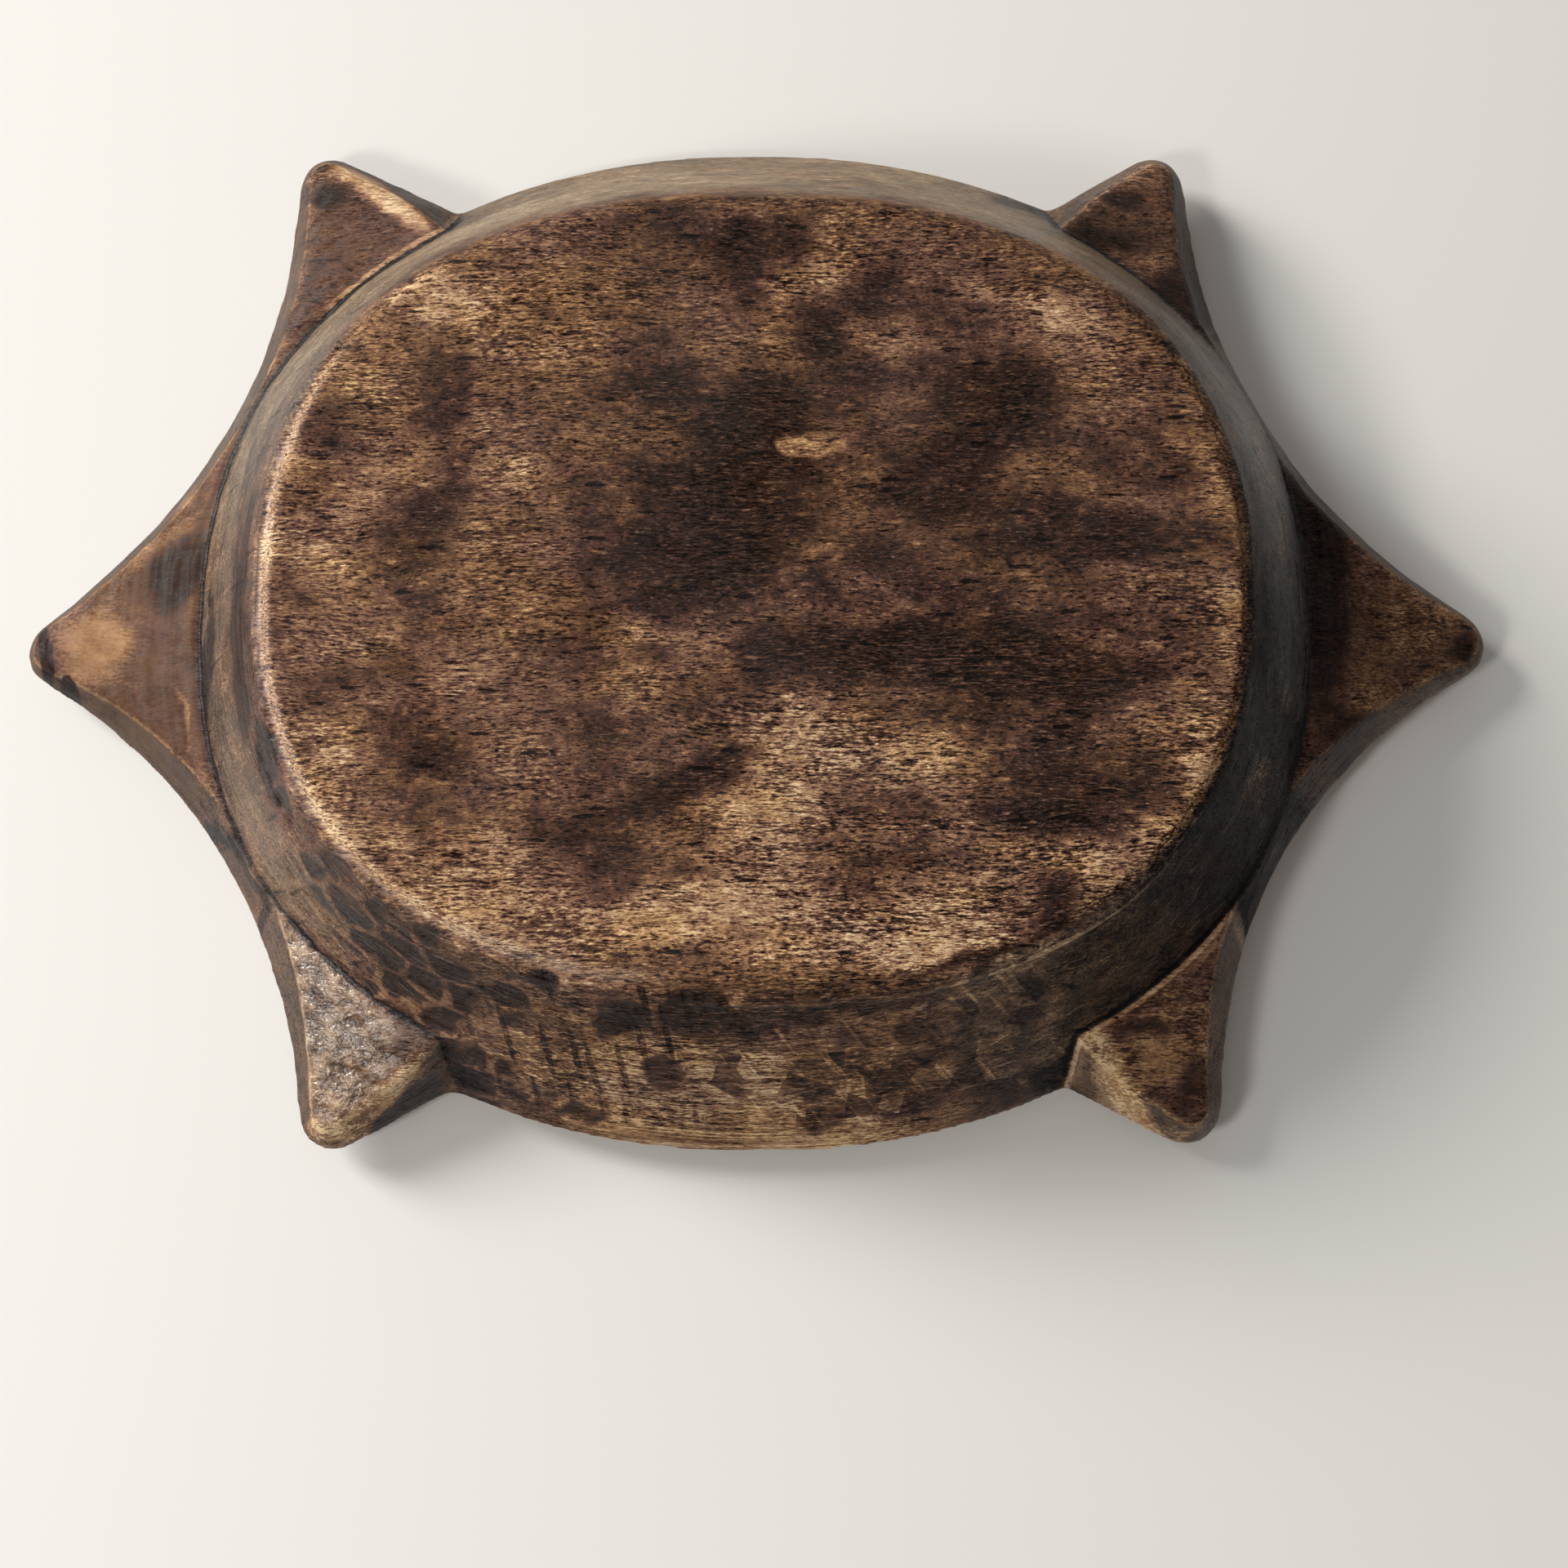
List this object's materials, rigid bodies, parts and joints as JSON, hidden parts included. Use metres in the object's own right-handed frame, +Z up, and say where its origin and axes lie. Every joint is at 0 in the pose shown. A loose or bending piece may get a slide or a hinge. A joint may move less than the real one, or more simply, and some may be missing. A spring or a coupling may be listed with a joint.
{
  "type": "kneading dish",
  "caption": "Oval carved wooden kneading dish with a flat base, a flared wall, a deep hollow and pointed lugs joined by a flange along its rim.",
  "frame": {"origin": "middle of the flat base that the dish stands on", "axes": "+Z up, out of the mouth; +X along the long side, towards one end lug; +Y across"},
  "size_m": [0.4849, 0.34, 0.074],
  "materials": {
    "carved_wood": "hand-carved dark brown wood, worn, satin"
  },
  "bodies": {
    "root": {"dish": "carved_wood"}
  },
  "joints": []
}
